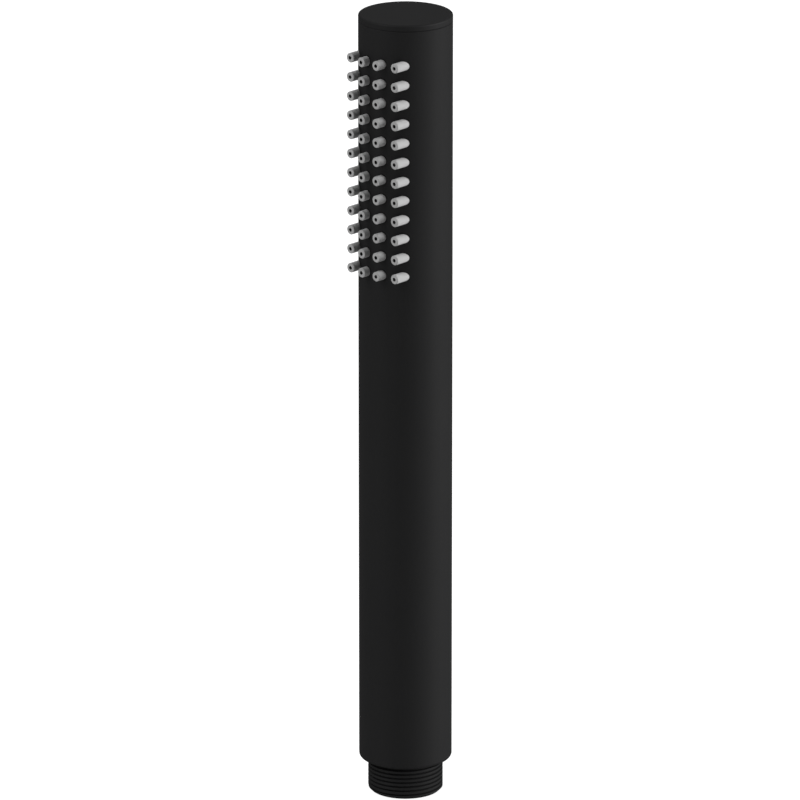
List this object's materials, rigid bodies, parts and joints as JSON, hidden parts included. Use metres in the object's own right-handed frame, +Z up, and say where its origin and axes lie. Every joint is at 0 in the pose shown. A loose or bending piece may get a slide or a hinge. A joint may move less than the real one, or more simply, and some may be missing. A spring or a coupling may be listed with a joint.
{
  "type": "hand shower",
  "caption": "Slim cylindrical hand shower in matte black metal, with grey silicone nozzles in rows on one side near the top, a flush end cap and a threaded hose inlet below.",
  "frame": {"origin": "centre of the threaded inlet's lower end face", "axes": "+Z up the tube's axis towards the end cap, -Y the way the spray leaves"},
  "size_m": [0.026, 0.028, 0.2252],
  "materials": {
    "black_coating": "matte",
    "grey_silicone": "matte",
    "waterway_plastic": "satin",
    "seal_rubber": "satin",
    "regulator_plastic": "satin",
    "regulator_rubber": "satin",
    "strainer_plastic": "satin"
  },
  "bodies": {
    "root": {"body_tube": "black_coating", "top_cap": "black_coating", "inlet_nipple": "black_coating", "nozzle_mat": "grey_silicone", "spray_core": "waterway_plastic", "cap_seal": "seal_rubber", "core_seal": "seal_rubber", "nipple_seal": "seal_rubber", "flow_regulator": "regulator_plastic", "regulator_ring": "regulator_rubber", "inlet_strainer": "strainer_plastic"}
  },
  "joints": []
}
